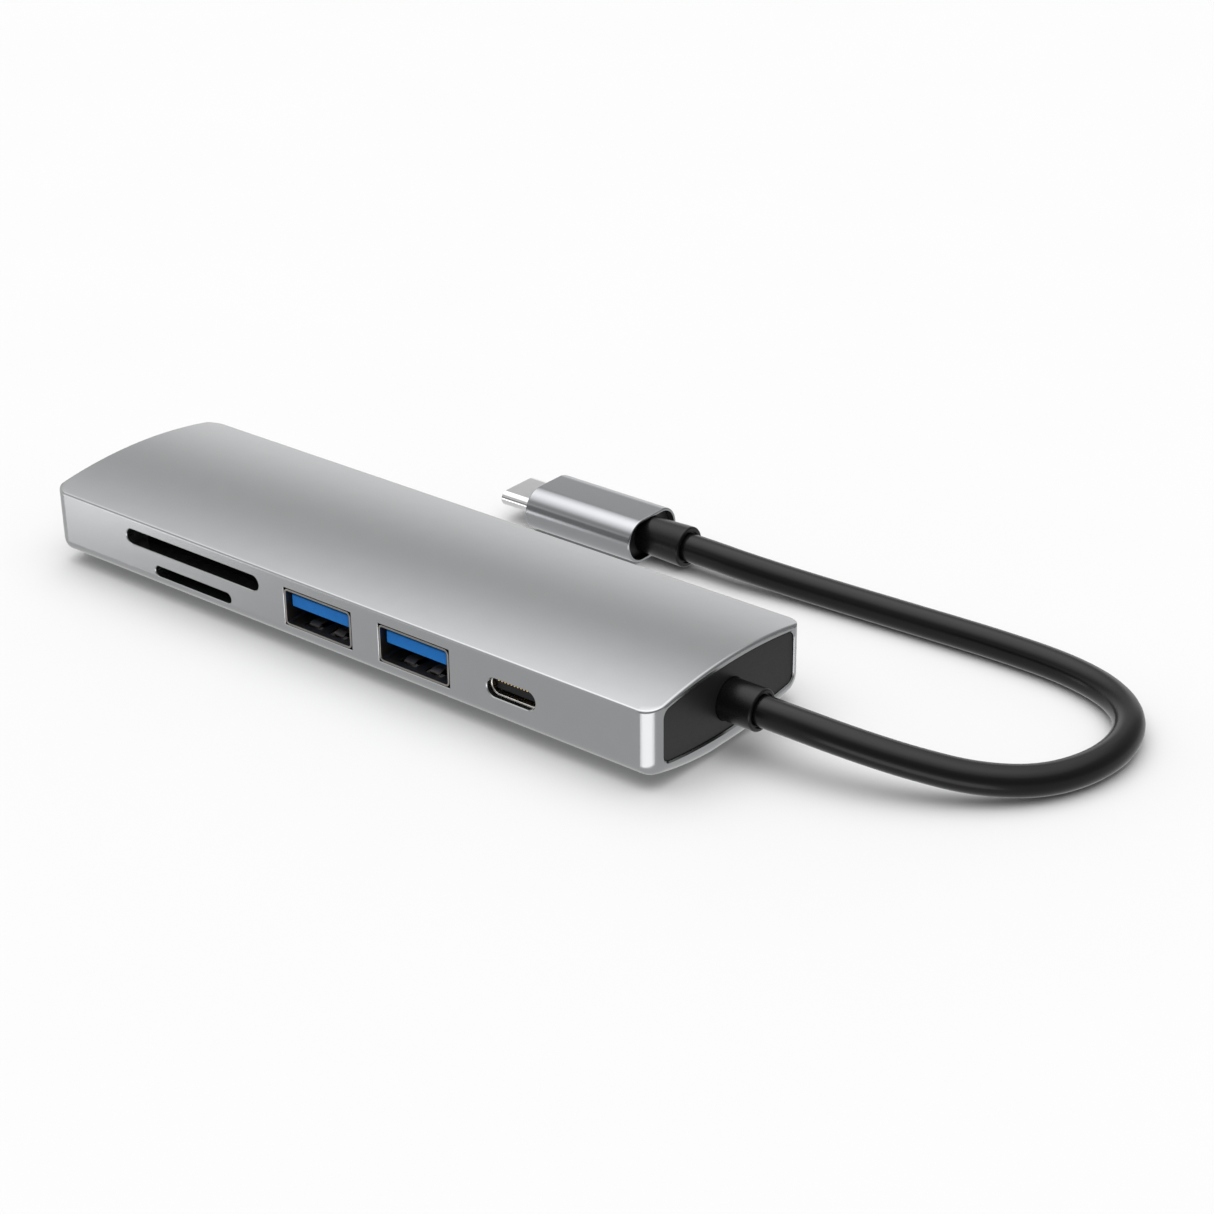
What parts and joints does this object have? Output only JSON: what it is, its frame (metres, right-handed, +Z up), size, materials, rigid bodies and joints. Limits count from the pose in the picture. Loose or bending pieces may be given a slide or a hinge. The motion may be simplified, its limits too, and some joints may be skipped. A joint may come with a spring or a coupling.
{
  "type": "usb hub",
  "caption": "Flat metal-sleeved USB hub with card slots, USB-A and USB-C sockets in one long side, and a short captive lead ending in a USB-C plug.",
  "frame": {"origin": "middle of the hub body's resting face", "axes": "+X towards the end that the lead leaves, -Y towards the row of front sockets, +Z up"},
  "size_m": [0.1626, 0.0633, 0.0139],
  "materials": {
    "housing": "bead-blasted silver-grey anodising",
    "black_plastic": "fine matt texture",
    "board": "green solder mask over glass fibre",
    "chip_black": "moulded epoxy",
    "plated_steel": "nickel plated sheet",
    "spring_steel": "nickel plated spring sheet",
    "contact_gold": "gold flash over copper alloy",
    "blue_plastic": "moulded, semi-gloss",
    "socket_plastic": "moulded liquid-crystal polymer",
    "crystal_can": "welded lid",
    "ferrite": "ferrite",
    "ceramic": "ceramic with tinned ends",
    "resistor": "glazed",
    "solder": "tin alloy",
    "wire": "coloured insulation",
    "lead": "satin black jacket",
    "plug_metal": "bead-blasted grey anodising",
    "tip_metal": "bright nickel plate"
  },
  "bodies": {
    "hub": {"card_reader_chip": "chip_black", "ceramic_capacitors": "ceramic", "chip_resistors": "resistor", "circuit_board": "board", "crystals": "crystal_can", "end_cap_hdmi": "black_plastic", "end_cap_lead": "black_plastic", "hdmi_contacts": "contact_gold", "hdmi_insulator": "socket_plastic", "hdmi_shell": "plated_steel", "housing_sleeve": "housing", "hub_controller": "chip_black", "hub_strain_relief": "black_plastic", "lead_jacket": "lead", "lead_wires": "wire", "microsd_socket_cover": "plated_steel", "microsd_socket_frame": "socket_plastic", "microsd_terminals": "contact_gold", "plug_card": "board", "plug_chip": "chip_black", "plug_contacts": "contact_gold", "plug_mould_lower": "black_plastic", "plug_mould_upper": "black_plastic", "plug_sleeve": "plug_metal", "plug_strain_relief": "black_plastic", "plug_tip_insulator": "socket_plastic", "plug_tip_shell": "tip_metal", "power_coils": "ferrite", "power_controller": "chip_black", "sd_socket_cover": "plated_steel", "sd_socket_frame": "socket_plastic", "sd_terminals": "contact_gold", "usb_a_left_insulator": "blue_plastic", "usb_a_left_shell": "plated_steel", "usb_a_left_terminals": "contact_gold", "usb_a_right_insulator": "blue_plastic", "usb_a_right_shell": "plated_steel", "usb_a_right_terminals": "contact_gold", "usb_c_contacts": "contact_gold", "usb_c_insulator": "socket_plastic", "usb_c_shell": "plated_steel", "video_converter": "chip_black", "wire_solder": "solder"},
    "usb_a_left_latch_springs": {"usb_a_left_latch_springs": "spring_steel"},
    "usb_a_right_latch_springs": {"usb_a_right_latch_springs": "spring_steel"},
    "usb_a_left_contact_springs": {"usb_a_left_contact_springs": "contact_gold"},
    "usb_a_right_contact_springs": {"usb_a_right_contact_springs": "contact_gold"},
    "sd_contact_springs": {"sd_contact_springs": "contact_gold"},
    "sd_detect_lever": {"sd_detect_lever": "contact_gold"},
    "microsd_contact_springs": {"microsd_contact_springs": "contact_gold"},
    "hdmi_latch_springs": {"hdmi_latch_springs": "spring_steel"},
    "plug_latch_front": {"plug_latch_front": "spring_steel"},
    "plug_latch_rear": {"plug_latch_rear": "spring_steel"}
  },
  "joints": [
    {"name": "usb_a_left_latch_flex", "type": "hinge", "parent": "hub", "child": "usb_a_left_latch_springs", "pos_m": [-0.00215, -0.0094, 0.00455], "axis": [1, 0, 0], "range_deg": [0, 4], "stiffness_Nm_per_rad": 0.08},
    {"name": "usb_a_right_latch_flex", "type": "hinge", "parent": "hub", "child": "usb_a_right_latch_springs", "pos_m": [0.01635, -0.0094, 0.00455], "axis": [1, 0, 0], "range_deg": [0, 4], "stiffness_Nm_per_rad": 0.08},
    {"name": "usb_a_left_contact_flex", "type": "hinge", "parent": "hub", "child": "usb_a_left_contact_springs", "pos_m": [-0.00215, -0.0066, 0.00785], "axis": [-1, 0, 0], "range_deg": [0, 3], "stiffness_Nm_per_rad": 0.08},
    {"name": "usb_a_right_contact_flex", "type": "hinge", "parent": "hub", "child": "usb_a_right_contact_springs", "pos_m": [0.01635, -0.0066, 0.00785], "axis": [-1, 0, 0], "range_deg": [0, 3], "stiffness_Nm_per_rad": 0.08},
    {"name": "sd_contact_flex", "type": "hinge", "parent": "hub", "child": "sd_contact_springs", "pos_m": [-0.028, 0.0089, 0.00795], "axis": [1, 0, 0], "range_deg": [0, 3], "stiffness_Nm_per_rad": 0.08},
    {"name": "sd_detect_flex", "type": "hinge", "parent": "hub", "child": "sd_detect_lever", "pos_m": [-0.01495, 0.0107, 0.0088], "axis": [0, 0, 1], "range_deg": [0, 7], "stiffness_Nm_per_rad": 0.01},
    {"name": "microsd_contact_flex", "type": "hinge", "parent": "hub", "child": "microsd_contact_springs", "pos_m": [-0.0281, -0.0025, 0.00555], "axis": [-1, 0, 0], "range_deg": [0, 3], "stiffness_Nm_per_rad": 0.08},
    {"name": "hdmi_latch_flex", "type": "hinge", "parent": "hub", "child": "hdmi_latch_springs", "pos_m": [-0.0493, 0, 0.0101], "axis": [0, 1, 0], "range_deg": [0, 4], "stiffness_Nm_per_rad": 0.08},
    {"name": "plug_latch_front_flex", "type": "hinge", "parent": "hub", "child": "plug_latch_front", "pos_m": [-0.0075, 0.03688, 0.00353], "axis": [0, 0, 1], "range_deg": [0, 2], "stiffness_Nm_per_rad": 0.08},
    {"name": "plug_latch_rear_flex", "type": "hinge", "parent": "hub", "child": "plug_latch_rear", "pos_m": [-0.0075, 0.04372, 0.00353], "axis": [0, 0, -1], "range_deg": [0, 2], "stiffness_Nm_per_rad": 0.08}
  ]
}
